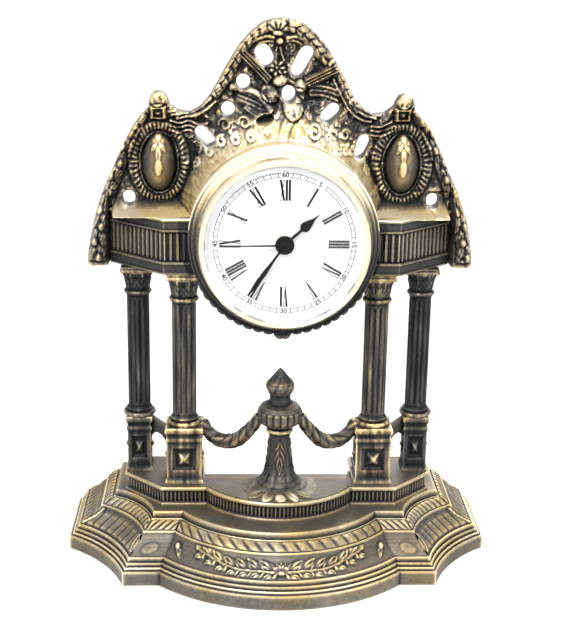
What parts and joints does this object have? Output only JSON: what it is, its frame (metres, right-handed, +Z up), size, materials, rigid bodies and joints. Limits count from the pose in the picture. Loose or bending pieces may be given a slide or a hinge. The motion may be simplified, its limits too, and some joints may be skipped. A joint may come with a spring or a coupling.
{
  "type": "table clock",
  "caption": "Cast bronze-finish table clock: round quartz insert in a drum over a columned portico with urn and garlands, pierced crest above, on a bowed moulded base",
  "frame": {"origin": "centre of the bounding box at the level of the base's rim", "axes": "+X to the clock's right as seen from the front, +Y to the back, +Z up; the dial faces -Y"},
  "size_m": [0.187, 0.0974, 0.2335],
  "materials": {
    "bronze_cast": "cast metal with a dark patina and rubbed, pale gold edges",
    "steel": "plain bright steel",
    "brass_hardware": "plain brass",
    "black_plastic": "moulded black plastic",
    "black_rubber": "soft black rubber",
    "gold_bezel": "polished gold plate",
    "clear_glass": "clear domed crystal",
    "white_plastic": "white plastic",
    "dial_white": "white lacquered disc with black print",
    "hand_black": "black lacquered sheet",
    "movement_plastic": "moulded plastic",
    "plate_plastic": "moulded plastic",
    "gear_plastic": "white moulded gear plastic",
    "magnet_grey": "bonded magnet",
    "board_green": "coated circuit board",
    "can_silver": "bright steel can",
    "copper_wire": "enamelled copper wire",
    "iron_core": "soft iron sheet",
    "cover_grey": "moulded plastic"
  },
  "bodies": {
    "housing": {"base_casting": "bronze_cast", "platform_casting": "bronze_cast", "inner_column_left": "bronze_cast", "inner_column_right": "bronze_cast", "outer_column_left": "bronze_cast", "outer_column_right": "bronze_cast", "side_rail_left": "bronze_cast", "side_rail_right": "bronze_cast", "urn": "bronze_cast", "swag_left": "bronze_cast", "swag_right": "bronze_cast", "head_casting": "bronze_cast", "crest_casting": "bronze_cast", "tie_rods": "steel", "tie_washers": "steel", "tie_nuts": "brass_hardware", "crest_screws": "steel"},
    "insert": {"insert_cup": "black_plastic", "rubber_ring": "black_rubber", "bezel": "gold_bezel", "crystal": "clear_glass", "spacer_ring": "white_plastic", "dial": "dial_white", "fixing_nut": "brass_hardware", "movement_front": "movement_plastic", "movement_rear": "movement_plastic", "middle_plate": "plate_plastic", "train_bridge": "plate_plastic", "circuit_board": "board_green", "quartz_can": "can_silver", "coil_bobbin": "movement_plastic", "coil_winding": "copper_wire", "coil_core": "iron_core", "stator": "iron_core", "battery": "can_silver", "contact_positive": "brass_hardware", "contact_negative": "brass_hardware"},
    "minute_body": {"minute_hand": "hand_black", "minute_tube": "brass_hardware", "centre_wheel": "gear_plastic", "cannon_pinion": "gear_plastic"},
    "hour_body": {"hour_hand": "hand_black", "hour_tube": "movement_plastic", "hour_wheel": "gear_plastic"},
    "second_body": {"second_hand": "hand_black", "seconds_arbor": "steel", "seconds_wheel": "gear_plastic"},
    "third_body": {"third_wheel": "gear_plastic", "third_arbor": "steel"},
    "intermediate_body": {"intermediate_wheel": "gear_plastic", "intermediate_arbor": "steel"},
    "rotor_body": {"rotor": "magnet_grey", "rotor_arbor": "steel"},
    "motion_body": {"motion_wheel": "gear_plastic", "motion_arbor": "steel", "setting_knob": "black_plastic"},
    "cover_body": {"battery_cover": "cover_grey"}
  },
  "joints": [
    {"name": "insert_slide", "type": "slide", "parent": "housing", "child": "insert", "axis": [0, -1, 0], "range_m": [0, 0.025]},
    {"name": "minute_turn", "type": "hinge", "parent": "insert", "child": "minute_body", "pos_m": [0, -0.01325, 0.1477], "axis": [0, 1, 0], "continuous": true},
    {"name": "hour_turn", "type": "hinge", "parent": "insert", "child": "hour_body", "pos_m": [0, -0.01325, 0.1477], "axis": [0, 1, 0], "continuous": true},
    {"name": "second_turn", "type": "hinge", "parent": "insert", "child": "second_body", "pos_m": [0, -0.01325, 0.1477], "axis": [0, 1, 0], "continuous": true},
    {"name": "third_turn", "type": "hinge", "parent": "insert", "child": "third_body", "pos_m": [0.01005, -0.01325, 0.14947], "axis": [0, 1, 0], "continuous": true},
    {"name": "intermediate_turn", "type": "hinge", "parent": "insert", "child": "intermediate_body", "pos_m": [-0.00894, -0.01325, 0.15286], "axis": [0, 1, 0], "continuous": true},
    {"name": "rotor_turn", "type": "hinge", "parent": "insert", "child": "rotor_body", "pos_m": [-0.01314, -0.01325, 0.16013], "axis": [0, 1, 0], "continuous": true},
    {"name": "setting_turn", "type": "hinge", "parent": "insert", "child": "motion_body", "pos_m": [-0.01039, -0.01325, 0.1417], "axis": [0, 1, 0], "continuous": true},
    {"name": "cover_turn", "type": "hinge", "parent": "insert", "child": "cover_body", "pos_m": [0.0126, -0.01325, 0.1355], "axis": [0, 1, 0], "range_deg": [0, 45]}
  ],
  "couplings": [
    {"joint": "hour_turn", "follows": "minute_turn", "ratio": 0.083333},
    {"joint": "second_turn", "follows": "minute_turn", "ratio": 60},
    {"joint": "third_turn", "follows": "minute_turn", "ratio": -8},
    {"joint": "intermediate_turn", "follows": "minute_turn", "ratio": -300},
    {"joint": "rotor_turn", "follows": "minute_turn", "ratio": 1800},
    {"joint": "setting_turn", "follows": "minute_turn", "ratio": -0.33333}
  ]
}
